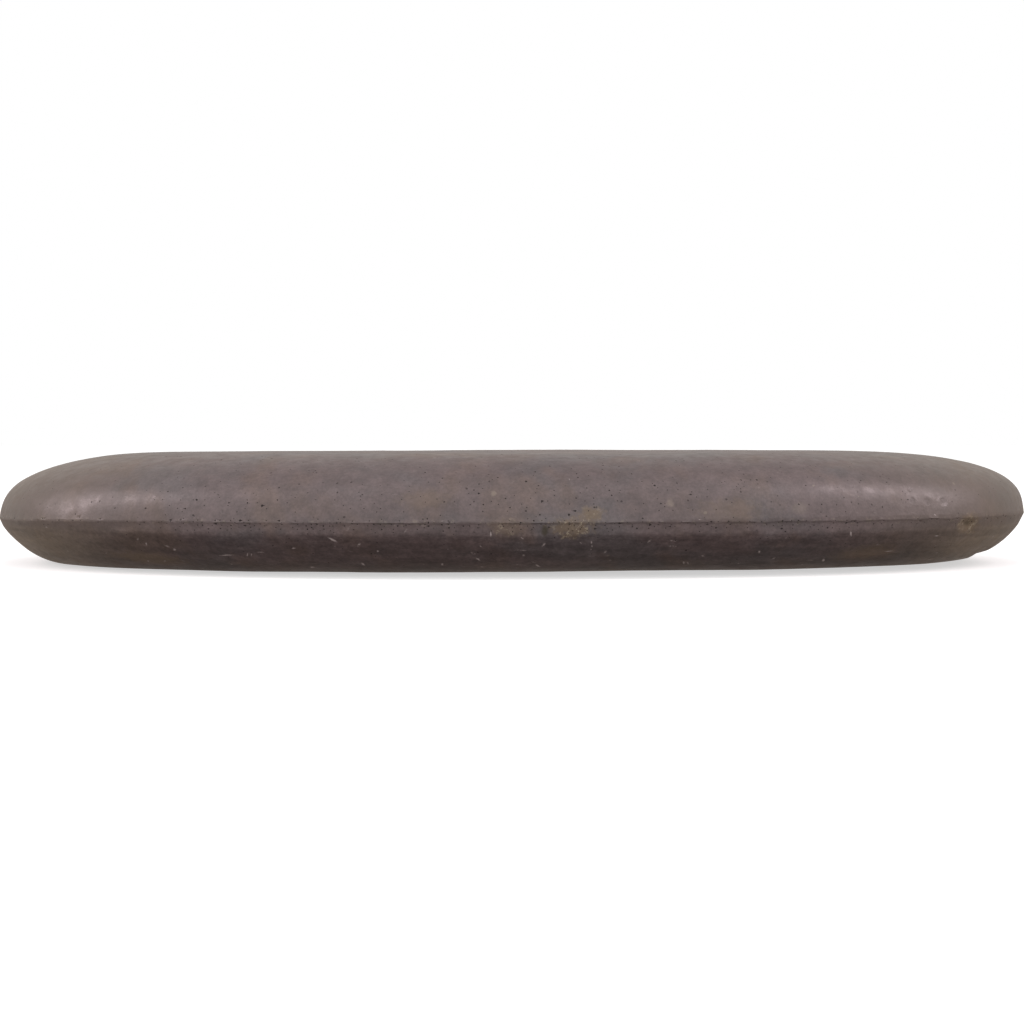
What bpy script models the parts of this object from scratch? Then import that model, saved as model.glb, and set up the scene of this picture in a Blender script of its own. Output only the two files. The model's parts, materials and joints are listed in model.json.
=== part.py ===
"""A large flat massage stone of ground and polished basalt.

The stone is a thick oval pebble. Its widest outline is a parting edge that runs all the way round,
a little below mid height. Above the edge the crown rises steeply and rounds over into a nearly flat,
slightly domed top. Below the edge the belly is undercut, like a worn chamfer, and turns in to a
slightly domed underside with a flat foot ground on its lowest part.

X runs along the stone, Y across it and Z up. The origin is on the surface that the stone lies on,
under the middle of its length and width. Units are metres.
"""

import math

import bmesh
import bpy

# Overall size
LENGTH = 0.160
WIDTH = 0.100

# Outline of the parting edge, seen from above
OUTLINE_POWER = 2.2        # 2 is an ellipse, more is squarer
NARROWING = 0.03           # share of the width lost towards the +X end
LOBE_DEPTH = 0.004         # unevenness of the outline, as a share of its radius
LOBE_COUNT = 3
LOBE_HEADING = math.radians(210)

# Crown: the part above the parting edge
CROWN_RISE = 0.00915       # parting edge to the shoulder
CROWN_DOME = 0.0005        # what the dome adds at the middle of the top
CROWN_INSET_BLUNT = 0.0257  # edge to shoulder along X, at the -X end
CROWN_INSET_LONG = 0.0307   # the same, at the +X end
CROWN_INSET_SIDE = 0.0170   # edge to shoulder along Y
CROWN_POWER_BLUNT = 2.3    # squareness of the crown's profile at the -X end
CROWN_POWER_LONG = 2.8     # the same, at the +X end
CROWN_LEAN_SIDE = 0.15     # share of the inset along Y that is a straight slope up from the edge

# Belly: the part below the parting edge
BELLY_DROP = 0.0071        # parting edge to the heel of the undercut
BELLY_DOME = 0.0008        # what the dome adds at the middle of the underside
BELLY_INSET_END = 0.0108   # edge to heel along X
BELLY_INSET_SIDE = 0.0145  # edge to heel along Y
BELLY_POWER = 2.33         # squareness of the undercut's profile
BELLY_LEAN_END = 0.34      # share of the inset along X that is a straight slope down from the edge
BELLY_LEAN_SIDE = 0.30     # the same along Y
BELLY_TAPER = 0.035        # share of the belly's depth lost towards the +X end
FOOT_TRIM = 0.0001         # depth ground off the belly's lowest part, which leaves the foot

EDGE_LIFT = 0.000145       # how much higher the parting edge runs at the +X end than at mid length

# Mesh
PANELS = 20                # quads along each side of the cube that is shaped into the stone
SHARP_ANGLE = math.radians(22)

# Basalt, ground and polished
BASALT_COLOUR = (0.105, 0.080, 0.077, 1.0)
BASALT_ROUGHNESS = 0.55


def clear_scene():
    for item in list(bpy.data.objects):
        bpy.data.objects.remove(item, do_unlink=True)


def basalt_material():
    material = bpy.data.materials.new("polished_basalt")
    material.use_nodes = True
    shader = material.node_tree.nodes["Principled BSDF"]
    shader.inputs["Base Color"].default_value = BASALT_COLOUR
    shader.inputs["Roughness"].default_value = BASALT_ROUGHNESS
    shader.inputs["Metallic"].default_value = 0.0
    return material


def signed_power(value, power):
    return math.copysign(abs(value) ** power, value)


def smooth_step(share):
    return share * share * (3 - 2 * share)


def mix(first, second, share):
    return first + (second - first) * share


def heading_on_square(u, v):
    """Heading of a point on a square, spread evenly along the square's sides."""
    eighth = math.pi / 4
    if abs(u) >= abs(v):
        return eighth * v / u + (math.pi if u < 0 else 0)
    return math.pi / 2 - eighth * u / v + (math.pi if v < 0 else 0)


def rim_point(heading):
    """The parting edge at a heading, in units of the half length and the half width."""
    along = signed_power(math.cos(heading), 2 / OUTLINE_POWER)
    across = signed_power(math.sin(heading), 2 / OUTLINE_POWER)
    lobe = 1 + LOBE_DEPTH * math.cos(LOBE_COUNT * (heading - LOBE_HEADING))
    return along * lobe, across * lobe * (1 - NARROWING * along)


def flank(climb, power):
    """A quarter of a superellipse: the share of the inset and of the height at a share of its arc."""
    angle = climb * math.pi / 2
    inset = 1 - max(math.cos(angle), 0.0) ** (2 / power)
    return inset, math.sin(angle) ** (2 / power)


def crown_profile(climb, along):
    """Inset along X, inset along Y and height of the crown's flank."""
    toward_long_end = smooth_step((1 + along) / 2)
    power = mix(CROWN_POWER_BLUNT, CROWN_POWER_LONG, toward_long_end)
    inset_end = mix(CROWN_INSET_BLUNT, CROWN_INSET_LONG, toward_long_end)
    curve, rise = flank(climb, power)
    inset_side = CROWN_INSET_SIDE * mix(curve, rise, CROWN_LEAN_SIDE)
    return inset_end * curve, inset_side, CROWN_RISE * rise


def belly_profile(climb):
    """Inset along X, inset along Y and depth of the belly's flank."""
    curve, drop = flank(climb, BELLY_POWER)
    inset_end = BELLY_INSET_END * mix(curve, drop, BELLY_LEAN_END)
    inset_side = BELLY_INSET_SIDE * mix(curve, drop, BELLY_LEAN_SIDE)
    return inset_end, inset_side, BELLY_DROP * drop


def foot_depth():
    """Depth of the foot below the parting edge."""
    return BELLY_DROP + BELLY_DOME - FOOT_TRIM


def stone_point(u, v, w):
    """Where a point of the surface of the cube from -1 to 1 goes on the stone.

    The cube's sides become the flanks, with its middle height on the parting edge, and its top and
    bottom faces become the dome of the crown and the underside.
    """
    reach = max(abs(u), abs(v))
    if reach == 0:
        along, across = 0.0, 0.0
    else:
        along, across = rim_point(heading_on_square(u, v))
    climb = abs(w)
    crown = w >= 0
    profile = crown_profile(climb, along) if crown else belly_profile(climb)
    inset_end, inset_side, height = profile
    scale_x = (1 - inset_end / (LENGTH / 2)) * reach
    scale_y = (1 - inset_side / (WIDTH / 2)) * reach
    spread = (scale_x + scale_y) / 2
    dome = CROWN_DOME if crown else BELLY_DOME
    height += dome * (1 - spread * spread)
    place_along = along * spread
    if not crown:
        height = -height * (1 - BELLY_TAPER * place_along)
    height = max(height + EDGE_LIFT * place_along, -foot_depth())
    return along * scale_x * LENGTH / 2, across * scale_y * WIDTH / 2, height + foot_depth()


def true_up(stone):
    """Centre the shape over the origin, at exactly the stated length and width."""
    for axis, size in ((0, LENGTH), (1, WIDTH)):
        places = [corner.co[axis] for corner in stone.verts]
        low, high = min(places), max(places)
        for corner in stone.verts:
            corner.co[axis] = (corner.co[axis] - (low + high) / 2) * size / (high - low)


def add_stone():
    stone = bmesh.new()
    bmesh.ops.create_cube(stone, size=2)
    bmesh.ops.subdivide_edges(stone, edges=stone.edges[:], cuts=PANELS - 1, use_grid_fill=True)
    for corner in stone.verts:
        corner.co = stone_point(*corner.co)
    true_up(stone)
    bmesh.ops.recalc_face_normals(stone, faces=stone.faces[:])
    mesh = bpy.data.meshes.new("massage_stone")
    stone.to_mesh(mesh)
    stone.free()
    mesh.shade_smooth()
    mesh.set_sharp_from_angle(angle=SHARP_ANGLE)
    mesh.materials.append(basalt_material())
    piece = bpy.data.objects.new("massage_stone", mesh)
    bpy.context.scene.collection.objects.link(piece)


def main():
    clear_scene()
    add_stone()


main()
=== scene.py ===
"""Looks of a large flat massage stone of ground and polished basalt.

Run it as a script. It models the stone over its frame, gives it its polished basalt and sets the stage.
Lengths are metres, except in the material, whose patterns count in millimetres.
"""

import json
import math
import random

import bmesh
import bpy
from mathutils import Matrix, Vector

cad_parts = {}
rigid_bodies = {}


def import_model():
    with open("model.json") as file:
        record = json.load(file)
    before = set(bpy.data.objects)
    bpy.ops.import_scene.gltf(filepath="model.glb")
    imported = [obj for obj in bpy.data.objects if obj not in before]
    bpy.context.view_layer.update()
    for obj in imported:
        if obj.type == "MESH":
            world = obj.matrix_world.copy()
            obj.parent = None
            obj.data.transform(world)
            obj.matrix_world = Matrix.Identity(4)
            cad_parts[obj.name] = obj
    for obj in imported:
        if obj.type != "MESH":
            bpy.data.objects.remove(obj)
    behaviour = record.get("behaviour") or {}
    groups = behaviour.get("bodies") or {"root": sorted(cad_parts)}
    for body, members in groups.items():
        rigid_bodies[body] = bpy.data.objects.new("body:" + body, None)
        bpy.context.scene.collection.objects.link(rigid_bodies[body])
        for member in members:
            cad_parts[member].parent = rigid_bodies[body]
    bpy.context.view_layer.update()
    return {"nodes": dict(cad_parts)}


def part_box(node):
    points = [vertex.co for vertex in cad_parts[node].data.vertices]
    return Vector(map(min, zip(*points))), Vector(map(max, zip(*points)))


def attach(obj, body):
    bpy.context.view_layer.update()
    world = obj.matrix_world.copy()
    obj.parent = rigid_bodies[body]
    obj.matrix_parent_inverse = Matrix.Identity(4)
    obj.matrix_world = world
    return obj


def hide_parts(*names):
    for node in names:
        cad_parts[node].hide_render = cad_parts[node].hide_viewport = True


bl_info = {
    "name": "Basalt massage stone",
    "version": (1, 0, 0),
    "blender": (4, 5, 0),
    "location": "View3D > Sidebar > Stone",
    "description": "Models a ground and polished basalt massage stone and the stage it lies on",
    "category": "Add Mesh",
}

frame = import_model()

STONE_NODE = "massage_stone"
STONE_BODY = "root"
PIECE_NAME = "polished_stone"
PIT_ATTRIBUTE = "pit"
HEIGHT_ATTRIBUTE = "height_above_edge"

MM = 0.001
MERGE_DISTANCE = 0.001 * MM
SHADING_ANGLE = math.radians(25)
BUMP_DEPTH = 0.08 * MM
LOW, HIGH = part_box(STONE_NODE)
LENGTH = HIGH.x - LOW.x
WIDTH = HIGH.y - LOW.y


def parting_height():
    """Height of the stone's widest outline, read at its two ends."""
    corners = [corner.co for corner in frame["nodes"][STONE_NODE].data.vertices]
    ends = (min(corners, key=lambda place: place.x), max(corners, key=lambda place: place.x))
    return (ends[0].z + ends[1].z) / 2


EDGE_Z = parting_height()

# Parting edge: how near a corner counts as on it, how far the nibbled lip reaches, and how near it the
# pits' own shading is kept
ON_EDGE = 0.30 * MM
LIP_REACH = 0.90 * MM
OPEN_SHADING = 0.35 * MM

# Panels that are halved: the flank's long ones, and the rows in a band at the parting edge. The flank's
# normals rise less than FLANK_SLOPE, and a level edge rises less than LEVEL_SLOPE of its length.
FLANK_SLOPE = 0.85
LEVEL_SLOPE = 0.15
LONG_PANEL = 0.9 * MM
BAND_BOTTOM = -1.8 * MM
BAND_TOP = 0.6 * MM
LEAST_CLIMB = 0.15 * MM

# The stone's middle stretch, to each side, and the length over which it gives way to the ends
MIDDLE_REACH = 44 * MM
MIDDLE_FADE = 22 * MM

# Height above the foot, and depth below the parting edge, from which the belly is shaped in full
FOOT_CLEARANCE = 0.5 * MM
BELLY_START = 1.5 * MM

# Sag of the parting edge: where it starts along the stone, over what length, and its reach up and down
SAG_START = 50 * MM
SAG_LENGTH = 26 * MM
SAG_REACH = 5 * MM

# Groove under the parting edge: depth of its middle below the edge, and half its width
GROOVE_DROP = 0.22 * MM
GROOVE_REACH = 0.30 * MM

# Unground strip: where it starts below the parting edge, over what height it grows and runs out, its
# share of the full depth, and how far the growth and the share wander
STRIP_START = 0.15 * MM
STRIP_TURN = 1.25 * MM
STRIP_TURN_WANDER = 0.50 * MM
STRIP_RUN_OUT = 3.4 * MM
STRIP_SHARE = 0.85
STRIP_SHARE_WANDER = 0.22

# The wave by which strip and groove come and go: lengths in millimetres, and shares. The strip's share
# follows it from a little way off.
EDGE_WAVES = ((9.7, 0.40), (5.3, 0.33), (3.3, 0.27))
WAVE_SHIFT = Vector((31 * MM, 0, 0))

# Room that a pit needs, in its sizes, and where the top's wider pits start above the parting edge
PIT_ROOM = 1.25
TOP_START = 8.3 * MM

# Pits: how many, half their width and their depth
PIT_KINDS = (
    (45, 0.20 * MM, 0.16 * MM),
    (400, 0.14 * MM, 0.12 * MM),
    (1400, 0.10 * MM, 0.09 * MM),
)

# The same for the few wider pits of the top
TOP_PITS = (60, 0.24 * MM, 0.20 * MM)

# How far a mineral patch reaches into the stone, in millimetres
PATCH_DEPTH = 4.0

# Mineral patches on the front flank. Each is a place along the stone, a height above the parting edge,
# a reach along and a reach up, all in millimetres, then its raggedness, its tint and its flecks.
PATCHES = (
    (10.9, 1.1, 2.1, 1.3, 1.6, 0.62, 0.30),
    (8.0, -0.7, 3.7, 1.5, 1.9, 0.60, 0.90),
    (-0.7, -0.7, 2.7, 1.4, 1.9, 0.28, 0.48),
    (66.4, -0.9, 2.4, 1.9, 1.5, 0.70, 0.70),
    (30.0, 1.6, 6.0, 2.0, 1.6, 0.22, 0.05),
    (-12.0, 3.2, 4.5, 1.5, 1.6, 0.18, 0.00),
    (50.0, -4.7, 7.0, 1.6, 1.2, 0.35, 0.10),
    (-52.0, -5.6, 9.0, 1.4, 1.2, 0.45, 0.10),
)

# Pale spots, dark hollows and dimples on the front flank, laid out as the patches are
PALE_SPOTS = (
    (21.8, 2.65, 0.60, 0.75, 2.4, 0.16, 0.0),
    (-2.5, 4.05, 0.55, 0.42, 2.4, 0.20, 0.0),
    (40.1, 1.85, 1.50, 0.95, 1.0, 0.10, 0.0),
)
OLIVE_HOLLOWS = (
    (4.5, -1.1, 0.65, 0.95, 0.8, 0.75, 0.0),
    (54.9, -5.15, 1.10, 0.20, 0.5, 0.45, 0.0),
    (66.2, -0.8, 0.70, 0.50, 1.2, 0.45, 0.0),
)
# The dimples are dents in the bump, darkened with painted shade
DIMPLES = (
    (59.4, 2.55, 0.70, 0.70, 0.2, 1.0, 0.0),
    (62.2, 2.50, 0.75, 0.70, 0.2, 1.0, 0.0),
    (57.0, 2.75, 0.50, 0.50, 0.3, 0.7, 0.0),
    (56.9, 4.15, 0.45, 0.35, 0.3, 0.9, 0.0),
)

# Scuffs on the front flank. Each is a place along the stone, a height above the parting edge,
# half its length and half its width, all in millimetres, then its slant in degrees and its strength.
SCUFFS = (
    (-24.6, -2.42, 0.54, 0.11, -28, 1.00),
    (-24.4, -3.39, 0.25, 0.11, -10, 0.50),
    (-30.2, -3.67, 0.37, 0.11, 0, 0.70),
    (-35.0, -4.32, 0.77, 0.07, 0, 0.60),
    (-18.5, -4.03, 0.17, 0.14, -40, 0.80),
    (-20.8, -6.04, 0.31, 0.13, -45, 0.90),
    (-22.4, -4.05, 0.76, 0.08, -12, 0.45),
    (-28.1, -6.60, 0.34, 0.13, 0, 0.80),
    (-9.7, -6.00, 0.17, 0.14, 0, 0.90),
    (-12.3, -6.00, 0.20, 0.11, 0, 0.50),
    (-8.8, -3.71, 0.25, 0.11, 10, 0.50),
    (-4.7, -5.21, 0.33, 0.10, -35, 0.90),
    (-4.3, -3.27, 0.30, 0.10, -35, 0.60),
    (-2.9, -1.51, 0.12, 0.40, 0, 0.80),
    (-51.7, -3.39, 0.14, 0.24, 0, 0.80),
    (-47.6, -4.16, 0.28, 0.21, 0, 0.70),
    (-52.2, -6.08, 0.19, 0.17, 0, 0.60),
    (-40.0, -4.85, 1.05, 0.08, 3, 0.80),
    (-37.0, -4.76, 0.08, 0.22, -20, 0.90),
    (-36.4, -4.72, 0.08, 0.20, -20, 0.80),
    (-46.8, -5.87, 0.50, 0.07, -15, 0.50),
    (1.4, -2.12, 0.37, 0.11, -35, 0.60),
    (1.6, -4.61, 0.35, 0.22, -15, 0.50),
    (3.6, -6.26, 0.38, 0.11, -30, 0.90),
    (10.9, -2.72, 0.11, 0.18, 0, 0.90),
    (11.0, -3.30, 0.11, 0.15, 0, 0.80),
    (10.9, -3.78, 0.10, 0.12, 0, 0.70),
    (9.4, -2.80, 0.30, 0.10, -40, 0.60),
    (13.7, -5.42, 0.39, 0.08, 0, 0.45),
    (24.1, -5.92, 0.14, 0.25, 20, 0.80),
    (24.7, -5.99, 0.13, 0.25, 30, 0.70),
    (34.6, -4.34, 0.15, 0.15, 0, 0.90),
    (38.1, -2.34, 0.24, 0.13, 30, 0.50),
    (44.4, -5.82, 0.19, 0.19, 0, 0.95),
    (47.6, -1.89, 0.14, 0.39, 15, 0.80),
    (54.1, -4.67, 0.86, 0.07, 2, 0.70),
    (60.6, 0.56, 0.31, 0.09, -35, 0.70),
    (7.9, 5.85, 0.12, 0.21, 0, 0.45),
    (-9.5, 0.26, 0.41, 0.08, 10, 0.45),
    (25.8, 0.38, 0.82, 0.07, -3, 0.40),
)

# Hollows. Each is a place along the stone, a place across it, a height above the parting edge,
# a reach along, a reach up and a depth. All reach the same distance across the stone.
HOLLOWS = (
    (4.5 * MM, -49 * MM, -1.0 * MM, 0.9 * MM, 1.2 * MM, 0.40 * MM),
    (66.3 * MM, -29 * MM, -1.0 * MM, 1.9 * MM, 1.3 * MM, 0.28 * MM),
    (71.5 * MM, -10 * MM, -5.8 * MM, 2.2 * MM, 1.5 * MM, 0.42 * MM),
)
HOLLOW_WIDTH = 12 * MM
DEEPEST_HOLLOW = max(hollow[-1] for hollow in HOLLOWS)

# Softboxes: name, bearing and rise in degrees, width, height and power. Bearing is 0 at the front and
# grows towards +X.
SOFTBOXES = (
    ("left_softbox", -91, 34, 0.12, 0.52, 2.25),
    ("right_softbox", 85, 39, 0.11, 0.54, 2.35),
)
SOFTBOX_DISTANCE = 0.8
SOFTBOX_TONE = (1.0, 0.83, 0.86)


# ---------------------------------------------------------------- settings


class StoneShape(bpy.types.PropertyGroup):
    """Sizes of the stone's fine surface"""

    smoothing: bpy.props.IntProperty(
        name="Smoothing",
        description="How many times each panel of the stone is divided",
        default=2,
        min=1,
        max=2,
    )
    swell: bpy.props.FloatProperty(
        name="Swell",
        description="Height of the slow unevenness left by hand grinding",
        default=0.35 * MM,
        unit="LENGTH",
    )
    ripple: bpy.props.FloatProperty(
        name="Ripple",
        description="Height of the small flats left by polishing",
        default=0.05 * MM,
        unit="LENGTH",
    )
    fullness: bpy.props.FloatProperty(
        name="Fullness",
        description="What the belly gets back of the depth that smoothing takes",
        default=0.22 * MM,
        unit="LENGTH",
    )
    sag: bpy.props.FloatProperty(
        name="Sag",
        description="How much lower the parting edge runs at the blunt end",
        default=0.50 * MM,
        unit="LENGTH",
    )
    edge_wear: bpy.props.FloatProperty(
        name="Edge wear",
        description="How far the parting edge wanders up and down where it is nibbled",
        default=0.26 * MM,
        unit="LENGTH",
    )
    undercut: bpy.props.FloatProperty(
        name="Undercut",
        description="Depth of the fine groove right under the parting edge",
        default=0.04 * MM,
        unit="LENGTH",
    )
    ledge: bpy.props.FloatProperty(
        name="Ledge",
        description="How far the unground strip under the parting edge stands out from the belly",
        default=0.41 * MM,
        unit="LENGTH",
    )
    pit_seed: bpy.props.IntProperty(
        name="Pit seed",
        description="Changes where the pits fall",
        default=7,
    )


class StoneColours(bpy.types.PropertyGroup):
    """Colours of the basalt, and of the painted sheen and shade laid over it"""

    ground: bpy.props.FloatVectorProperty(
        name="Ground",
        description="Main colour of the basalt",
        subtype="COLOR",
        default=(0.108, 0.082, 0.082),
        min=0.0,
        max=1.0,
    )
    cool: bpy.props.FloatVectorProperty(
        name="Cool cloud",
        description="Colour of the cool, bluish grey clouds in the basalt",
        subtype="COLOR",
        default=(0.098, 0.084, 0.087),
        min=0.0,
        max=1.0,
    )
    warm: bpy.props.FloatVectorProperty(
        name="Warm cloud",
        description="Colour of the warm, brownish clouds in the basalt",
        subtype="COLOR",
        default=(0.116, 0.083, 0.073),
        min=0.0,
        max=1.0,
    )
    # Painted sheen: a beige tone laid into the colour towards the two ends, for the pale haze of light that
    # they catch
    painted_end_sheen: bpy.props.FloatVectorProperty(
        name="Haze",
        description="Beige tone that the stone takes towards its two ends",
        subtype="COLOR",
        default=(0.130, 0.104, 0.076),
        min=0.0,
        max=1.0,
    )
    # Pit: painted shade inside the pits and in the line under the parting edge's lip; also the colour of the
    # dark specks
    pit: bpy.props.FloatVectorProperty(
        name="Pit",
        description="Colour inside the pits",
        subtype="COLOR",
        default=(0.018, 0.013, 0.013),
        min=0.0,
        max=1.0,
    )
    ochre: bpy.props.FloatVectorProperty(
        name="Ochre",
        description="Colour of the tan mineral patches",
        subtype="COLOR",
        default=(0.170, 0.122, 0.072),
        min=0.0,
        max=1.0,
    )
    scuff: bpy.props.FloatVectorProperty(
        name="Scuff",
        description="Colour of the scuffs",
        subtype="COLOR",
        default=(0.500, 0.440, 0.430),
        min=0.0,
        max=1.0,
    )
    olive: bpy.props.FloatVectorProperty(
        name="Olive",
        description="Colour of the dark hollow among the tan mineral",
        subtype="COLOR",
        default=(0.040, 0.032, 0.014),
        min=0.0,
        max=1.0,
    )
    cream: bpy.props.FloatVectorProperty(
        name="Cream",
        description="Colour of the pale flecks and worn spots",
        subtype="COLOR",
        default=(0.420, 0.360, 0.270),
        min=0.0,
        max=1.0,
    )


class StageSettings(bpy.types.PropertyGroup):
    """Camera and lights"""

    camera_distance: bpy.props.FloatProperty(
        name="Camera distance",
        description="From the camera to the middle of the stone",
        default=0.350,
        unit="LENGTH",
    )
    camera_rise: bpy.props.FloatProperty(
        name="Camera rise",
        description="Height of the camera above the parting edge",
        default=0.01138,
        unit="LENGTH",
    )
    lens: bpy.props.FloatProperty(
        name="Lens",
        description="Focal length in millimetres on a 36 mm wide sensor",
        default=77.5,
    )
    sky_light: bpy.props.FloatProperty(
        name="Sky light",
        description="Brightness of the room above the floor",
        default=0.48,
    )
    under_light: bpy.props.FloatProperty(
        name="Under light",
        description="Brightness of what the belly sees a little below the horizon",
        default=0.44,
    )
    deep_light: bpy.props.FloatProperty(
        name="Deep light",
        description="Brightness of what the belly sees straight below it",
        default=0.06,
    )
    sun_light: bpy.props.FloatProperty(
        name="Overhead light",
        description="Strength of the soft light from above",
        default=1.3,
    )
    backdrop: bpy.props.FloatProperty(
        name="Backdrop",
        description="Brightness of the backdrop as the camera sees it",
        default=1.0,
    )
    floor_glow: bpy.props.FloatProperty(
        name="Floor glow",
        description="Brightness that the floor has of its own, so that it runs into the backdrop",
        default=0.56,
    )
    floor_colour: bpy.props.FloatVectorProperty(
        name="Floor",
        description="Colour of the floor",
        subtype="COLOR",
        default=(0.65, 0.65, 0.65),
        min=0.0,
        max=1.0,
    )


# ---------------------------------------------------------------- mesh tools


def pick_piece(piece):
    """Select one piece and nothing else."""
    bpy.ops.object.select_all(action="DESELECT")
    piece.select_set(True)
    bpy.context.view_layer.objects.active = piece


def begin_edit(piece, select_mode):
    """Enter edit mode on one piece, with nothing selected."""
    pick_piece(piece)
    bpy.ops.object.mode_set(mode="EDIT")
    bpy.ops.mesh.select_mode(type=select_mode)
    bpy.ops.mesh.select_all(action="DESELECT")


def end_edit():
    bpy.ops.object.mode_set(mode="OBJECT")


def pick_edges(piece, wanted):
    """Select the edges that pass a test, in edit mode."""
    shape = bmesh.from_edit_mesh(piece.data)
    for edge in shape.edges:
        edge.select_set(wanted(edge))
    bmesh.update_edit_mesh(piece.data)


def fill_group(piece, name, weight_at):
    """Make a vertex group whose weights are a function of place."""
    group = piece.vertex_groups.new(name=name)
    for corner in piece.data.vertices:
        weight = weight_at(corner.co)
        if weight > 0.0:
            group.add([corner.index], min(weight, 1.0), "REPLACE")
    return group.name


def apply_all(piece):
    """Apply a piece's modifiers, in their order."""
    pick_piece(piece)
    for modifier in list(piece.modifiers):
        bpy.ops.object.modifier_apply(modifier=modifier.name)


def clouds(name, size, depth):
    """A soft noise for displacing, with lumps about as wide as size."""
    texture = bpy.data.textures.new(name, "CLOUDS")
    texture.noise_scale = size
    texture.noise_depth = depth
    return texture


def displace(piece, texture, height, group="", middle=0.5, direction="NORMAL"):
    """Move the surface by a noise, or by the same height all over if there is none."""
    modifier = piece.modifiers.new("relief", "DISPLACE")
    modifier.texture = texture
    modifier.texture_coords = "LOCAL"
    modifier.direction = direction
    modifier.strength = height
    modifier.mid_level = middle
    modifier.vertex_group = group


def fade(distance, reach):
    """1 at no distance, falling smoothly to 0 at the reach."""
    share = max(0.0, 1.0 - distance / reach)
    return share * share * (3 - 2 * share)


# ---------------------------------------------------------------- stone


def copy_frame_stone():
    """A merged copy of the frame's stone, in quads again."""
    source = frame["nodes"][STONE_NODE]
    piece = bpy.data.objects.new(PIECE_NAME, source.data.copy())
    piece.data.name = PIECE_NAME
    piece.data.materials.clear()
    bpy.context.scene.collection.objects.link(piece)
    begin_edit(piece, "VERT")
    bpy.ops.mesh.select_all(action="SELECT")
    bpy.ops.mesh.remove_doubles(threshold=MERGE_DISTANCE)
    fold = math.radians(60)
    bpy.ops.mesh.tris_convert_to_quads(face_threshold=fold, shape_threshold=fold)
    end_edit()
    return piece


def edge_height(place):
    """Height of a place above the parting edge, in metres."""
    return place.z - EDGE_Z


def on_parting_edge(corner):
    return abs(edge_height(corner.co)) < ON_EDGE


def crease_parting_edge(piece):
    begin_edit(piece, "EDGE")
    pick_edges(piece, lambda edge: all(on_parting_edge(corner) for corner in edge.verts))
    bpy.ops.transform.edge_crease(value=1.0)
    end_edit()


def smooth_panels(piece, levels):
    modifier = piece.modifiers.new("smooth", "SUBSURF")
    modifier.levels = levels
    modifier.render_levels = levels
    apply_all(piece)


def split_long_panels(piece):
    """Halve the flank's panels along the stone, so that they are nearly square."""
    begin_edit(piece, "EDGE")
    pick_edges(piece, lambda edge: runs_round_flank(edge) and edge.calc_length() > LONG_PANEL)
    bpy.ops.mesh.subdivide(number_cuts=1, smoothness=1.0)
    end_edit()


def runs_round_flank(edge):
    first, second = edge.verts
    steep = min(abs(first.normal.z), abs(second.normal.z)) < FLANK_SLOPE
    return steep and is_level(edge)


def is_level(edge):
    first, second = edge.verts
    return abs(first.co.z - second.co.z) < LEVEL_SLOPE * edge.calc_length()


def split_edge_rows(piece):
    """Halve the rows of panels next to the parting edge, where the lip needs them."""
    begin_edit(piece, "EDGE")
    pick_edges(piece, climbs_from_edge)
    bpy.ops.mesh.subdivide(number_cuts=1)
    end_edit()


def climbs_from_edge(edge):
    heights = sorted(edge_height(corner.co) for corner in edge.verts)
    in_band = heights[0] > BAND_BOTTOM and heights[1] < BAND_TOP
    return in_band and heights[1] - heights[0] > LEAST_CLIMB


def along_flank(place):
    """1 along the middle of the stone, falling to 0 before its two ends."""
    return fade(max(0.0, abs(place.x) - MIDDLE_REACH), MIDDLE_FADE)


def above_foot(place):
    """1 over the stone, falling to 0 on its foot, which stays flat."""
    return min(1.0, max(0.0, (place.z - LOW.z) / FOOT_CLEARANCE))


def belly_weight(place):
    """The lower flank between the parting edge and the foot."""
    below = -edge_height(place)
    return min(1.0, max(0.0, below / BELLY_START)) * above_foot(place)


def sag_weight(place):
    """The parting edge runs a little lower at the blunt end."""
    toward_end = min(1.0, max(0.0, (-place.x - SAG_START) / SAG_LENGTH))
    return toward_end * toward_end * fade(abs(edge_height(place)), SAG_REACH)


def undercut_weight(place):
    """The groove right under the parting edge, which comes and goes."""
    below = -edge_height(place)
    open_share = min(1.0, max(0.0, 0.5 + 0.8 * wander(place)))
    return fade(abs(below - GROOVE_DROP), GROOVE_REACH) * open_share * along_flank(place)


def ledge_weight(place):
    """The strip under the parting edge: it stands out more and more downwards, then runs into the belly."""
    below = -edge_height(place)
    if below < STRIP_START:
        return 0.0
    turn = STRIP_TURN + STRIP_TURN_WANDER * wander(place)
    rise = 1.0 - fade(below - STRIP_START, turn)
    depth = STRIP_SHARE + STRIP_SHARE_WANDER * wander(place + WAVE_SHIFT)
    return depth * rise * fade(max(0.0, below - turn), STRIP_RUN_OUT) * along_flank(place)


def wander(place):
    """An uneven wave along the stone, from -1 to 1."""
    way = place.x / MM + place.y / MM
    return sum(share * math.sin(way * math.tau / length) for length, share in EDGE_WAVES)


def sink_pits(piece, count, size, depth, draw, chance):
    """Open small pits at random corners of the mesh."""
    begin_edit(piece, "VERT")
    pick_pit_places(piece, count, size, draw, chance)
    bpy.ops.mesh.bevel(offset=size, segments=1, profile=0.5, affect="VERTICES", clamp_overlap=False)
    bpy.ops.mesh.inset(thickness=0.3 * size, depth=-depth)
    bpy.ops.transform.vertex_random(offset=0.2 * size, seed=draw.randrange(1000))
    bpy.ops.mesh.select_more()
    mark_faces(piece, PIT_ATTRIBUTE)
    end_edit()


def mark_faces(piece, name):
    """Give the selected faces the value 1 in an attribute that the material can read."""
    shape = bmesh.from_edit_mesh(piece.data)
    layer = shape.faces.layers.float.get(name) or shape.faces.layers.float.new(name)
    for face in shape.faces:
        if face.select:
            face[layer] = 1.0
    bmesh.update_edit_mesh(piece.data)


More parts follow.
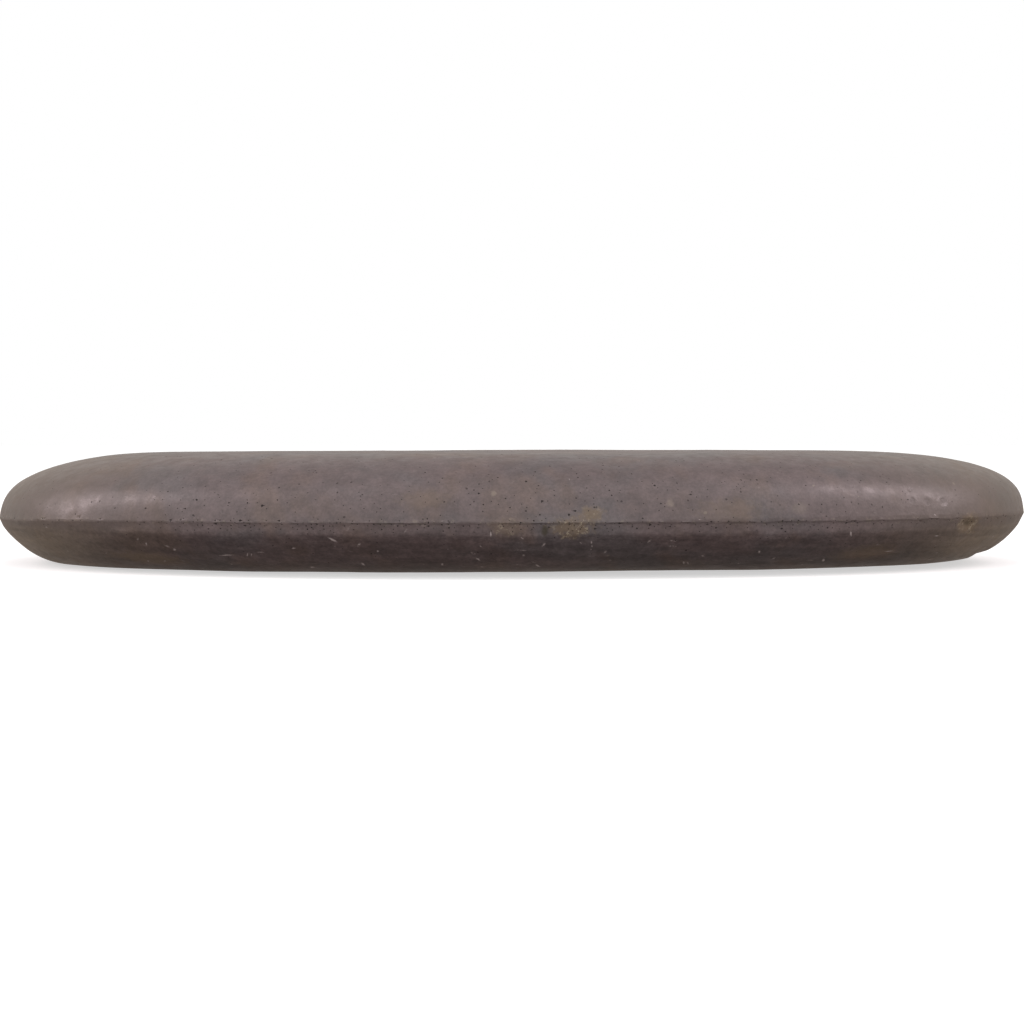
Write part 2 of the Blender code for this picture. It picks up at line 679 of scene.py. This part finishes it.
def pick_pit_places(piece, count, size, draw, chance):
    shape = bmesh.from_edit_mesh(piece.data)
    corners = [corner for corner in shape.verts if has_room(corner, size)]
    draw.shuffle(corners)
    taken = set()
    for corner in corners:
        if len(taken) >= count:
            break
        near = [edge.other_vert(corner).index for edge in corner.link_edges]
        if taken.isdisjoint(near) and draw.random() < chance(corner.co):
            taken.add(corner.index)
            slide(corner, size, draw)
            corner.select_set(True)
    bmesh.update_edit_mesh(piece.data)


def slide(corner, size, draw):
    """Move a corner a little along the stone, so that the pits don't stand in rows."""
    level = [edge for edge in corner.link_edges if is_level(edge)]
    if level:
        edge = draw.choice(level)
        slack = max(0.0, edge.calc_length() - PIT_ROOM * size)
        way = (edge.other_vert(corner).co - corner.co).normalized()
        corner.co += way * slack * draw.uniform(0.0, 0.5)


def has_room(corner, size):
    if len(corner.link_edges) != 4 or corner.co.z < LOW.z + 0.3 * MM:
        return False
    return min(edge.calc_length() for edge in corner.link_edges) > PIT_ROOM * size


def pit_chance(place):
    """Share of the corners at a place that may become pits: most at the parting edge, few at the ends."""
    height = edge_height(place)
    at_edge = fade(abs(height + 0.35 * MM), 1.25 * MM)
    elsewhere = 0.10 + 0.22 * fade(height, 9 * MM) if height > 0 else 0.05
    toward_end = min(1.0, max(0.0, abs(place.x) / (LENGTH / 2) - 0.48) / 0.20)
    return max(at_edge, elsewhere) * (1.0 - 0.88 * toward_end)


def top_pit_chance(place):
    """Share of the corners at a place that may become wider pits: the top's only."""
    return 0.5 if edge_height(place) > TOP_START else 0.0


def hollow_weight(place):
    """Depth of the hollows at a place, as a share of the deepest."""
    weight = 0.0
    for along, across, height, reach_along, reach_up, depth in HOLLOWS:
        sideways = (place.x - along) / reach_along
        upwards = (edge_height(place) - height) / reach_up
        inwards = (place.y - across) / HOLLOW_WIDTH
        away = math.sqrt(sideways**2 + upwards**2 + inwards**2)
        weight += depth / DEEPEST_HOLLOW * fade(away, 1.0)
    return weight


def keep_smooth_normals(piece, smooth):
    """Shade the surface as it was before its pits, except at the parting edge, and drop the old copy."""
    away = fill_group(piece, "away_from_edge", is_away_from_edge)
    modifier = piece.modifiers.new("normals", "DATA_TRANSFER")
    modifier.object = smooth
    modifier.use_loop_data = True
    modifier.data_types_loops = {"CUSTOM_NORMAL"}
    modifier.loop_mapping = "POLYINTERP_NEAREST"
    modifier.vertex_group = away
    apply_all(piece)
    bpy.data.objects.remove(smooth, do_unlink=True)


def is_away_from_edge(place):
    return 1.0 if abs(edge_height(place)) > OPEN_SHADING else 0.0


def smooth_copy(piece):
    """A copy of a piece, shaded smooth, as it is before its pits."""
    copy = bpy.data.objects.new("smooth", piece.data.copy())
    bpy.context.scene.collection.objects.link(copy)
    pick_piece(copy)
    bpy.ops.object.shade_smooth_by_angle(angle=SHADING_ANGLE)
    return copy


def store_heights(piece):
    """Keep each corner's height above the parting edge, in millimetres, for the material to follow."""
    attribute = piece.data.attributes.new(HEIGHT_ATTRIBUTE, "FLOAT", "POINT")
    for corner in piece.data.vertices:
        attribute.data[corner.index].value = edge_height(corner.co) / MM


def model_stone(shape):
    """The stone, smoothed, shaped and pitted."""
    piece = copy_frame_stone()
    crease_parting_edge(piece)
    smooth_panels(piece, shape.smoothing)
    split_long_panels(piece)
    split_edge_rows(piece)
    store_heights(piece)
    off_foot = fill_group(piece, "off_foot", above_foot)
    belly = fill_group(piece, "belly", belly_weight)
    sag = fill_group(piece, "sag", sag_weight)
    edge_band = fill_group(piece, "edge", lambda place: fade(abs(edge_height(place)), LIP_REACH))
    groove = fill_group(piece, "undercut", undercut_weight)
    ledge = fill_group(piece, "ledge", ledge_weight)
    hollows = fill_group(piece, "hollows", hollow_weight)
    displace(piece, None, shape.fullness, belly, 0.0)
    displace(piece, None, -shape.sag, sag, 0.0, "Z")
    displace(piece, None, shape.ledge, ledge, 0.0)
    displace(piece, None, -shape.undercut, groove, 0.0)
    displace(piece, clouds("swell", 28 * MM, 1), shape.swell, off_foot)
    displace(piece, clouds("ripple", 3.5 * MM, 2), shape.ripple, off_foot)
    displace(piece, clouds("nibble", 2.2 * MM, 3), shape.edge_wear, edge_band, 0.5, "Z")
    displace(piece, None, -DEEPEST_HOLLOW, hollows, 0.0)
    apply_all(piece)
    smooth = smooth_copy(piece)
    draw = random.Random(shape.pit_seed)
    for count, size, depth in PIT_KINDS:
        sink_pits(piece, count, size, depth, draw, pit_chance)
    sink_pits(piece, *TOP_PITS, draw, top_pit_chance)
    bpy.ops.object.shade_smooth_by_angle(angle=SHADING_ANGLE)
    keep_smooth_normals(piece, smooth)
    return piece


# ---------------------------------------------------------------- materials


def plug(tree, value, socket):
    """Link a socket to another, or set it to a number or a colour."""
    if isinstance(value, bpy.types.NodeSocket):
        tree.links.new(value, socket)
    elif isinstance(value, (tuple, list)) and len(value) == 3 and socket.type == "RGBA":
        socket.default_value = (*value, 1.0)
    else:
        socket.default_value = value


def add_node(tree, kind, settings=None, **inputs):
    """Add a shader node, with its settings and its named inputs."""
    node = tree.nodes.new(kind)
    for name, value in (settings or {}).items():
        setattr(node, name, value)
    for name, value in inputs.items():
        plug(tree, value, node.inputs[name])
    return node


def maths(tree, operation, first, second=0.0):
    node = add_node(tree, "ShaderNodeMath", {"operation": operation})
    plug(tree, first, node.inputs[0])
    plug(tree, second, node.inputs[1])
    return node.outputs["Value"]


def times(tree, first, second):
    return maths(tree, "MULTIPLY", first, second)


def vector_maths(tree, operation, first, second=None):
    node = add_node(tree, "ShaderNodeVectorMath", {"operation": operation})
    plug(tree, first, node.inputs[0])
    if second is not None:
        plug(tree, second, node.inputs[1])
    return node


def map_range(tree, value, low, high, start, end):
    node = add_node(tree, "ShaderNodeMapRange", {"interpolation_type": "SMOOTHSTEP"}, Value=value)
    for name, bound in (("From Min", low), ("From Max", high), ("To Min", start), ("To Max", end)):
        plug(tree, bound, node.inputs[name])
    return node.outputs["Result"]


def mix_values(tree, factor, first, second):
    node = add_node(tree, "ShaderNodeMix", {"data_type": "FLOAT"}, Factor=factor, A=first, B=second)
    return node.outputs["Result"]


def mix_colours(tree, factor, first, second, blend="MIX"):
    node = tree.nodes.new("ShaderNodeMix")
    node.data_type = "RGBA"
    node.blend_type = blend
    plug(tree, factor, node.inputs["Factor"])
    plug(tree, first, node.inputs[6])
    plug(tree, second, node.inputs[7])
    return node.outputs[2]


def noise(tree, vector, scale, detail=2.0, roughness=0.5):
    sizes = {"Scale": scale, "Detail": detail, "Roughness": roughness}
    return add_node(tree, "ShaderNodeTexNoise", Vector=vector, **sizes).outputs["Fac"]


def stretched(tree, vector, scale, rotation=(0.0, 0.0, 0.0)):
    node = add_node(tree, "ShaderNodeMapping", {"vector_type": "TEXTURE"}, Vector=vector)
    node.inputs["Scale"].default_value = scale
    node.inputs["Rotation"].default_value = rotation
    return node.outputs["Vector"]


def new_group(name, inputs, outputs):
    """A shader node group with its sockets, and the nodes at its two ends."""
    tree = bpy.data.node_groups.new(name, "ShaderNodeTree")
    for label, kind in inputs:
        tree.interface.new_socket(label, in_out="INPUT", socket_type=kind)
    for label, kind in outputs:
        tree.interface.new_socket(label, in_out="OUTPUT", socket_type=kind)
    return tree, tree.nodes.new("NodeGroupInput"), tree.nodes.new("NodeGroupOutput")


def place_group(tree, group, **inputs):
    node = tree.nodes.new("ShaderNodeGroup")
    node.node_tree = group
    for name, value in inputs.items():
        plug(tree, value, node.inputs[name.replace("_", " ")])
    return node


FLOAT = "NodeSocketFloat"
COLOUR = "NodeSocketColor"
VECTOR = "NodeSocketVector"


def cloud_group():
    """Basalt's clouds: cool and warm patches, slow light and dark, and a fine grain."""
    colours = [("Ground", COLOUR), ("Cool", COLOUR), ("Warm", COLOUR)]
    tree, start, end = new_group("basalt_clouds", [("Vector", VECTOR), *colours], [("Colour", COLOUR)])
    place = start.outputs["Vector"]
    cool_place = stretched(tree, place, (1.8, 1.8, 1.0))
    cool = map_range(tree, noise(tree, cool_place, 0.11, 4.0), 0.46, 0.66, 0.0, 0.9)
    warm_place = stretched(tree, place, (1.5, 1.5, 1.0), (0.4, 0.9, 0.2))
    warm = map_range(tree, noise(tree, warm_place, 0.16, 4.0), 0.48, 0.70, 0.0, 0.8)
    colour = mix_colours(tree, cool, start.outputs["Ground"], start.outputs["Cool"])
    colour = mix_colours(tree, warm, colour, start.outputs["Warm"])
    slow = map_range(tree, noise(tree, place, 0.10, 2.0), 0.30, 0.70, 0.94, 1.06)
    blotch = map_range(tree, noise(tree, place, 0.48, 5.0, 0.6), 0.30, 0.70, 0.86, 1.14)
    grain = map_range(tree, noise(tree, place, 2.4, 3.0, 0.6), 0.25, 0.75, 0.86, 1.14)
    shade = times(tree, slow, times(tree, blotch, grain))
    colour = mix_colours(tree, 1.0, colour, shade, "MULTIPLY")
    tree.links.new(colour, end.inputs["Colour"])
    return tree


def speck_group():
    """Small round specks scattered at random, as a mask."""
    inputs = [("Vector", VECTOR), ("Scale", FLOAT), ("Radius", FLOAT), ("Share", FLOAT)]
    tree, start, end = new_group("specks", inputs, [("Mask", FLOAT)])
    ragged = add_node(tree, "ShaderNodeTexNoise", Vector=start.outputs["Vector"], Scale=2.5, Detail=1.0)
    shift = vector_maths(tree, "SCALE", ragged.outputs["Color"])
    shift.inputs["Scale"].default_value = 0.25
    place = vector_maths(tree, "ADD", start.outputs["Vector"], shift.outputs[0])
    cells = add_node(tree, "ShaderNodeTexVoronoi", Vector=place.outputs[0], Scale=start.outputs["Scale"])
    pick = add_node(tree, "ShaderNodeSeparateColor", Color=cells.outputs["Color"])
    chosen = maths(tree, "LESS_THAN", pick.outputs["Red"], start.outputs["Share"])
    growth = map_range(tree, pick.outputs["Green"], 0.0, 1.0, 0.5, 1.2)
    grown = times(tree, start.outputs["Radius"], growth)
    inner = times(tree, grown, 0.55)
    spot = map_range(tree, cells.outputs["Distance"], inner, grown, 1.0, 0.0)
    tree.links.new(times(tree, spot, chosen), end.inputs["Mask"])
    return tree


def stray_scuff_group():
    """Short pale streaks at random, each thin and slanting, as a mask."""
    inputs = [("Vector", VECTOR), ("Share", FLOAT)]
    tree, start, end = new_group("stray_scuffs", inputs, [("Mask", FLOAT)])
    masks = []
    for slant, length, scale in ((0.5, 5.0, 0.75), (0.1, 9.0, 0.9), (-0.9, 3.0, 0.6)):
        line = stretched(tree, start.outputs["Vector"], (length, 3.0, 1.0), (0.0, slant, 0.0))
        cells = add_node(tree, "ShaderNodeTexVoronoi", Vector=line, Scale=scale)
        pick = add_node(tree, "ShaderNodeSeparateColor", Color=cells.outputs["Color"])
        chosen = maths(tree, "LESS_THAN", pick.outputs["Red"], start.outputs["Share"])
        streak = map_range(tree, cells.outputs["Distance"], 0.02, 0.13, 1.0, 0.0)
        masks.append(times(tree, streak, chosen))
    broken = map_range(tree, noise(tree, start.outputs["Vector"], 3.0, 2.0), 0.42, 0.58, 0.0, 1.0)
    tree.links.new(times(tree, most_of(tree, masks), broken), end.inputs["Mask"])
    return tree


def scuff_group():
    """The scuffs that stand at known places, as a mask."""
    tree, start, end = new_group("front_scuffs", [("Vector", VECTOR)], [("Mask", FLOAT)])
    ragged = maths(tree, "SUBTRACT", noise(tree, start.outputs["Vector"], 4.0, 2.0), 0.5)
    nearest = 9.0
    for along, height, half_length, half_width, slant, strength in SCUFFS:
        mark = add_node(tree, "ShaderNodeMapping", {"vector_type": "TEXTURE"}, Vector=start.outputs["Vector"])
        mark.inputs["Location"].default_value = front_place(along, height)
        mark.inputs["Rotation"].default_value = (0.0, -math.radians(slant), 0.0)
        mark.inputs["Scale"].default_value = (1.2 * half_length, 12.0, 1.4 * half_width)
        distance = vector_maths(tree, "LENGTH", mark.outputs["Vector"])
        fainter = maths(tree, "ADD", distance.outputs["Value"], 1.2 * (1.0 - strength))
        nearest = maths(tree, "MINIMUM", fainter, nearest)
    nearest = maths(tree, "ADD", nearest, times(tree, ragged, 1.1))
    tree.links.new(map_range(tree, nearest, 0.35, 1.25, 1.0, 0.0), end.inputs["Mask"])
    return tree


def patch_group():
    """One ragged patch of mineral around a centre, as a mask."""
    inputs = [("Vector", VECTOR), ("Centre", VECTOR), ("Reach", VECTOR), ("Ragged", FLOAT)]
    tree, start, end = new_group("mineral_patch", inputs, [("Mask", FLOAT)])
    away = vector_maths(tree, "SUBTRACT", start.outputs["Vector"], start.outputs["Centre"])
    share = vector_maths(tree, "DIVIDE", away.outputs[0], start.outputs["Reach"])
    distance = vector_maths(tree, "LENGTH", share.outputs[0])
    wander = maths(tree, "SUBTRACT", noise(tree, start.outputs["Vector"], 1.1, 4.0, 0.65), 0.5)
    wander = times(tree, wander, start.outputs["Ragged"])
    edge = maths(tree, "ADD", distance.outputs["Value"], wander)
    tree.links.new(map_range(tree, edge, 0.30, 1.15, 1.0, 0.0), end.inputs["Mask"])
    return tree


def read_attribute(tree, name):
    return add_node(tree, "ShaderNodeAttribute", {"attribute_name": name}).outputs["Fac"]


def patch_masks(tree, group, place, patches):
    """Where patches on the front flank tint the stone, and where they have flecks, as masks."""
    tints = []
    grains = []
    for along, height, reach_along, reach_up, ragged, strength, flecks in patches:
        centre = front_place(along, height)
        reach = (reach_along, PATCH_DEPTH, reach_up)
        node = place_group(tree, group, Vector=place, Centre=centre, Reach=reach, Ragged=ragged)
        tints.append(times(tree, node.outputs["Mask"], strength))
        if flecks > 0.0:
            grains.append(times(tree, node.outputs["Mask"], flecks))
    return most_of(tree, tints), most_of(tree, grains)


def front_place(along, height):
    """The point of the front flank at a place along the stone and a height above its edge, in millimetres."""
    start = Vector((along * MM, -WIDTH, EDGE_Z + height * MM))
    found, place, _, _ = frame["nodes"][STONE_NODE].ray_cast(start, Vector((0, 1, 0)))
    if not found:
        raise ValueError(f"the front flank has no point {along} mm along and {height} mm up")
    return tuple(place / MM)


def most_of(tree, masks):
    total = masks[0] if masks else 0.0
    for mask in masks[1:]:
        total = maths(tree, "MAXIMUM", total, mask)
    return total


def ledge_masks(tree, place, height, along):
    """The unground strip under the parting edge, and the broken line of painted shadow under its lip, as
    masks.
    """
    middle = map_range(tree, maths(tree, "ABSOLUTE", along), 46.0, 64.0, 1.0, 0.0)
    wander = times(tree, maths(tree, "SUBTRACT", noise(tree, place, 0.45, 5.0, 0.65), 0.5), 3.2)
    lower = map_range(tree, maths(tree, "ADD", height, wander), -2.1, -0.7, 0.0, 1.0)
    strip = times(tree, map_range(tree, height, -0.15, -0.02, 1.0, 0.0), lower)
    # The line: painted shadow right under the parting edge's lip, broken by noise
    line = map_range(tree, maths(tree, "ABSOLUTE", maths(tree, "ADD", height, 0.12)), 0.06, 0.20, 1.0, 0.0)
    patchy = map_range(tree, noise(tree, place, 1.1, 4.0, 0.65), 0.46, 0.62, 0.0, 1.0)
    line = times(tree, line, patchy)
    return times(tree, strip, middle), times(tree, line, middle)


def stone_zones(tree, place):
    """The place along the stone, the height above its parting edge, and the masks of its zones."""
    along = add_node(tree, "ShaderNodeSeparateXYZ", Vector=place).outputs["X"]
    height = read_attribute(tree, HEIGHT_ATTRIBUTE)
    strip, line = ledge_masks(tree, place, height, along)
    return {
        "along": along,
        "height": height,
        "belly": map_range(tree, height, -1.6, -0.4, 1.0, 0.0),
        "ends": map_range(tree, maths(tree, "ABSOLUTE", along), 40.0, 78.0, 0.0, 1.0),
        "strip": strip,
        "line": line,
    }


def speck_masks(tree, place, zones):
    """Dark, fine and light specks. The dark ones are fainter on the top, the belly and the ends."""
    specks = speck_group()
    flank = map_range(tree, zones["height"], 7.5, 11.0, 1.0, 0.5)
    spared = maths(tree, "MAXIMUM", zones["belly"], zones["ends"])
    showing = times(tree, flank, mix_values(tree, spared, 1.0, 0.35))
    dark = place_group(tree, specks, Vector=place, Scale=0.95, Radius=0.17, Share=0.38)
    fine = place_group(tree, specks, Vector=place, Scale=1.9, Radius=0.20, Share=0.30)
    light = place_group(tree, specks, Vector=place, Scale=0.45, Radius=0.12, Share=0.08)
    return {
        "dark": times(tree, dark.outputs["Mask"], showing),
        "fine": fine.outputs["Mask"],
        "light": light.outputs["Mask"],
    }


def mark_masks(tree, place, zones):
    """The mineral, the dimples, the scuffs, the worn lip and the pits."""
    patch = patch_group()
    tint, fleck = patch_masks(tree, patch, place, PATCHES)
    pale, _ = patch_masks(tree, patch, place, PALE_SPOTS)
    olive, _ = patch_masks(tree, patch, place, OLIVE_HOLLOWS)
    dimple, _ = patch_masks(tree, patch, place, DIMPLES)
    grains = map_range(tree, noise(tree, place, 1.5, 4.0, 0.75), 0.53, 0.63, 0.0, 1.0)
    stray = place_group(tree, stray_scuff_group(), Vector=place, Share=0.34).outputs["Mask"]
    stray = times(tree, stray, mix_values(tree, zones["belly"], 0.10, 0.85))
    scuff = place_group(tree, scuff_group(), Vector=place).outputs["Mask"]
    lip = map_range(tree, maths(tree, "ABSOLUTE", zones["height"]), 0.1, 0.7, 1.0, 0.0)
    rubbed = map_range(tree, noise(tree, place, 1.1, 4.0, 0.7), 0.54, 0.66, 0.0, 0.45)
    return {
        "tint": tint,
        "fleck": times(tree, fleck, grains),
        "pale": pale,
        "olive": olive,
        "dimple": dimple,
        "stray": stray,
        "scuff": maths(tree, "MAXIMUM", scuff, stray),
        "worn": times(tree, lip, rubbed),
        "pit": read_attribute(tree, PIT_ATTRIBUTE),
    }


def ground_colour(tree, colours, place, zones):
    """Clouds, a painted sheen and painted light towards the ends, a lighter strip and a combed, mottled
    belly.
    """
    base = place_group(tree, cloud_group(), Vector=place)
    for name, tone in (("Ground", colours.ground), ("Cool", colours.cool), ("Warm", colours.warm)):
        plug(tree, tuple(tone), base.inputs[name])
    # Painted sheen: the colour turns beige towards the two ends, most on the belly
    painted_sheen_share = times(tree, zones["ends"], mix_values(tree, zones["belly"], 0.55, 0.80))
    colour = mix_colours(tree, painted_sheen_share, base.outputs["Colour"], tuple(colours.painted_end_sheen))
    # Painted light: the belly is lightened towards the two ends, for the light that falls on them there
    painted_light_share = map_range(tree, maths(tree, "ABSOLUTE", zones["along"]), 54.0, 70.0, 0.0, 1.0)
    painted_light_share = times(tree, painted_light_share, map_range(tree, zones["height"], -4.0, -0.4, 1.0, 0.0))
    painted_lit_colour = mix_colours(tree, 1.0, colour, (1.90, 1.92, 1.84), "MULTIPLY")
    colour = mix_colours(tree, painted_light_share, colour, painted_lit_colour)
    lighter = mix_colours(tree, 1.0, colour, (1.12, 1.13, 1.14), "MULTIPLY")
    colour = mix_colours(tree, zones["strip"], colour, lighter)
    sweep = stretched(tree, place, (16.0, 16.0, 1.0), (0.0, 0.03, 0.0))
    combed = map_range(tree, noise(tree, sweep, 1.3, 3.0, 0.6), 0.3, 0.7, 0.86, 1.14)
    mottled = map_range(tree, noise(tree, place, 1.3, 5.0, 0.75), 0.35, 0.65, 0.84, 1.16)
    uneven = times(tree, combed, mottled)
    return mix_colours(tree, zones["belly"], colour, mix_colours(tree, 1.0, colour, uneven, "MULTIPLY"))


def marked_colour(tree, colours, colour, zones, specks, marks):
    """The basalt with its marks laid over it, each with a mask, a share and a colour. The dimples, the line
    under the lip and the pits get painted shade.
    """
    # Painted shade: the dimples darkened, for the shade in their hollows
    shaded = mix_colours(tree, 1.0, colour, (0.84, 0.84, 0.84), "MULTIPLY")
    colour = mix_colours(tree, marks["dimple"], colour, shaded)
    layers = (
        (marks["tint"], 1.0, colours.ochre),
        (marks["fleck"], 0.75, colours.cream),
        (marks["pale"], 1.0, colours.cream),
        (marks["olive"], 1.0, colours.olive),
        (specks["fine"], 0.30, colours.pit),
        (specks["dark"], 0.60, colours.pit),
        (specks["light"], 0.18, colours.cream),
        (marks["worn"], 0.35, colours.cream),
        (marks["scuff"], 0.90, colours.scuff),
        # Painted shadow: the dark line under the parting edge's lip
        (zones["line"], 0.33, colours.pit),
        # Painted shade: the pits' faces darkened, for the shade inside them
        (marks["pit"], 0.90, colours.pit),
    )
    for mask, share, tone in layers:
        colour = mix_colours(tree, times(tree, mask, share), colour, tuple(tone))
    return colour


def surface_relief(tree, place, zones, specks, marks):
    """The normal of the surface with its grain, specks, dimples, scuffs and flecks."""
    layers = (
        ("ADD", noise(tree, place, 0.55, 3.0, 0.55), 0.70),
        ("ADD", noise(tree, place, 3.2, 3.0, 0.6), 0.10),
        ("SUBTRACT", maths(tree, "MAXIMUM", specks["dark"], zones["line"]), 0.20),
        ("SUBTRACT", marks["dimple"], 0.50),
        ("ADD", maths(tree, "MAXIMUM", marks["stray"], marks["fleck"]), 0.20),
    )
    height = 0.0
    for operation, mask, share in layers:
        height = maths(tree, operation, height, times(tree, mask, share))
    bump = add_node(tree, "ShaderNodeBump", Strength=1.0, Distance=BUMP_DEPTH, Height=height)
    return bump.outputs["Normal"]


def basalt_material(colours):
    """Polished basalt: satin where it is polished, matt in its pits, specks and mineral."""
    material = bpy.data.materials.new("polished_basalt")
    material.use_nodes = True
    tree = material.node_tree
    shader = tree.nodes["Principled BSDF"]
    objects = tree.nodes.new("ShaderNodeTexCoord").outputs["Object"]
    place = stretched(tree, objects, (MM, MM, MM))
    zones = stone_zones(tree, place)
    specks = speck_masks(tree, place, zones)
    marks = mark_masks(tree, place, zones)

    colour = ground_colour(tree, colours, place, zones)
    colour = marked_colour(tree, colours, colour, zones, specks, marks)
    tree.links.new(colour, shader.inputs["Base Color"])

    satin = map_range(tree, noise(tree, place, 0.5, 4.0, 0.6), 0.3, 0.7, 0.32, 0.47)
    matt = most_of(tree, [marks["pit"], specks["dark"], marks["tint"], zones["strip"]])
    tree.links.new(mix_values(tree, matt, satin, 0.80), shader.inputs["Roughness"])
    shader.inputs["Sheen Weight"].default_value = 0.10
    shader.inputs["Sheen Roughness"].default_value = 0.40
    shader.inputs["Sheen Tint"].default_value = (0.90, 0.76, 0.55, 1.0)

    normal = surface_relief(tree, place, zones, specks, marks)
    tree.links.new(normal, shader.inputs["Normal"])
    return material


# ---------------------------------------------------------------- stage


def make_floor(settings):
    """A wide round floor. It throws no light on the stone: the lower half of the world does that."""
    bpy.ops.object.select_all(action="DESELECT")
    bpy.ops.mesh.primitive_circle_add(vertices=64, radius=6.0, fill_type="NGON", location=(0, 0, LOW.z))
    floor = bpy.context.object
    floor.name = "floor"
    material = bpy.data.materials.new("studio_floor")
    material.use_nodes = True
    shader = material.node_tree.nodes["Principled BSDF"]
    shader.inputs["Base Color"].default_value = (*settings.floor_colour, 1.0)
    shader.inputs["Roughness"].default_value = 1.0
    shader.inputs["Specular IOR Level"].default_value = 0.0
    shader.inputs["Emission Color"].default_value = (1.0, 1.0, 1.0, 1.0)
    shader.inputs["Emission Strength"].default_value = settings.floor_glow
    floor.data.materials.append(material)
    floor.visible_diffuse = False
    floor.visible_glossy = False


def make_world(settings):
    """Soft light from all round: bright above and behind, warm and dim below, and white to the camera."""
    world = bpy.data.worlds.new("studio")
    bpy.context.scene.world = world
    world.use_nodes = True
    tree = world.node_tree
    sky = tree.nodes["Background"]
    direction = tree.nodes.new("ShaderNodeTexCoord").outputs["Generated"]
    axes = add_node(tree, "ShaderNodeSeparateXYZ", Vector=direction)
    above = map_range(tree, axes.outputs["Z"], -0.12, 0.15, 0.0, 1.0)
    behind = map_range(tree, axes.outputs["Y"], 0.0, 0.9, 1.0, 1.05)
    front = map_range(tree, axes.outputs["Y"], -0.8, 0.6, 2.1, 0.6)
    low_light = map_range(tree, axes.outputs["Z"], -0.85, -0.12, settings.deep_light, settings.under_light)
    sides = map_range(tree, maths(tree, "ABSOLUTE", axes.outputs["X"]), 0.4, 0.95, 1.0, 1.7)
    low_light = times(tree, low_light, times(tree, front, sides))
    high_light = times(tree, behind, settings.sky_light)
    level = mix_values(tree, above, low_light, high_light)
    seen = tree.nodes.new("ShaderNodeLightPath").outputs["Is Camera Ray"]
    tree.links.new(mix_values(tree, seen, level, settings.backdrop), sky.inputs["Strength"])
    tone = mix_colours(tree, above, (1.0, 0.89, 0.86), (1.0, 0.99, 0.97))
    tree.links.new(mix_colours(tree, seen, tone, (1.0, 1.0, 1.0)), sky.inputs["Color"])


def make_sun(settings):
    """A very soft light from above, a little in front."""
    light = bpy.data.lights.new("soft_sun", "SUN")
    light.energy = settings.sun_light
    light.angle = math.radians(100)
    lamp = bpy.data.objects.new("soft_sun", light)
    lamp.rotation_euler = (math.radians(38), 0.0, math.radians(-5))
    bpy.context.scene.collection.objects.link(lamp)


def make_softbox(name, bearing, rise, width, height, power):
    """A softbox aimed at the stone."""
    light = bpy.data.lights.new(name, "AREA")
    light.shape = "RECTANGLE"
    light.size = width
    light.size_y = height
    light.energy = power
    light.color = SOFTBOX_TONE
    lamp = bpy.data.objects.new(name, light)
    middle = Vector((0, 0, EDGE_Z))
    level = SOFTBOX_DISTANCE * math.cos(rise)
    lift = SOFTBOX_DISTANCE * math.sin(rise)
    lamp.location = middle + Vector((level * math.sin(bearing), -level * math.cos(bearing), lift))
    lamp.rotation_euler = (middle - lamp.location).to_track_quat("-Z", "Y").to_euler()
    bpy.context.scene.collection.objects.link(lamp)


def make_camera(settings):
    data = bpy.data.cameras.new("camera")
    data.lens = settings.lens
    data.sensor_width = 36.0
    data.clip_start = 0.01
    data.clip_end = 50.0
    camera = bpy.data.objects.new("camera", data)
    camera.location = (0, -settings.camera_distance, EDGE_Z + settings.camera_rise)
    aim = Vector((0, 0, EDGE_Z - 0.15 * MM)) - camera.location
    camera.rotation_euler = aim.to_track_quat("-Z", "Y").to_euler()
    bpy.context.scene.collection.objects.link(camera)
    bpy.context.scene.camera = camera


# ---------------------------------------------------------------- operators


class STONE_OT_model(bpy.types.Operator):
    """Model the stone over its frame and give it its polished basalt"""

    bl_idname = "stone.model"
    bl_label = "Model the stone"

    def execute(self, context):
        piece = model_stone(context.scene.stone_shape)
        piece.data.materials.append(basalt_material(context.scene.stone_colours))
        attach(piece, STONE_BODY)
        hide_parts(STONE_NODE)
        return {"FINISHED"}


class STONE_OT_stage(bpy.types.Operator):
    """Lay the floor and set the lights and the camera"""

    bl_idname = "stone.stage"
    bl_label = "Set the stage"

    def execute(self, context):
        settings = context.scene.stone_stage
        context.scene.view_settings.view_transform = "Standard"
        make_world(settings)
        make_floor(settings)
        make_sun(settings)
        for name, bearing, rise, width, height, power in SOFTBOXES:
            make_softbox(name, math.radians(bearing), math.radians(rise), width, height, power)
        make_camera(settings)
        return {"FINISHED"}


class STONE_PT_panel(bpy.types.Panel):
    """Massage stone tools"""

    bl_label = "Massage stone"
    bl_idname = "STONE_PT_panel"
    bl_space_type = "VIEW_3D"
    bl_region_type = "UI"
    bl_category = "Stone"

    def draw(self, context):
        for group in (context.scene.stone_shape, context.scene.stone_colours, context.scene.stone_stage):
            box = self.layout.box()
            for name in group.__annotations__:
                box.prop(group, name)
        self.layout.operator("stone.model")
        self.layout.operator("stone.stage")


CLASSES = (StoneShape, StoneColours, StageSettings, STONE_OT_model, STONE_OT_stage, STONE_PT_panel)


def register():
    for item in CLASSES:
        bpy.utils.register_class(item)
    bpy.types.Scene.stone_shape = bpy.props.PointerProperty(type=StoneShape)
    bpy.types.Scene.stone_colours = bpy.props.PointerProperty(type=StoneColours)
    bpy.types.Scene.stone_stage = bpy.props.PointerProperty(type=StageSettings)


def unregister():
    del bpy.types.Scene.stone_stage
    del bpy.types.Scene.stone_colours
    del bpy.types.Scene.stone_shape
    for item in reversed(CLASSES):
        bpy.utils.unregister_class(item)


def main():
    register()
    bpy.ops.stone.model()
    bpy.ops.stone.stage()


if __name__ == "__main__":
    main()
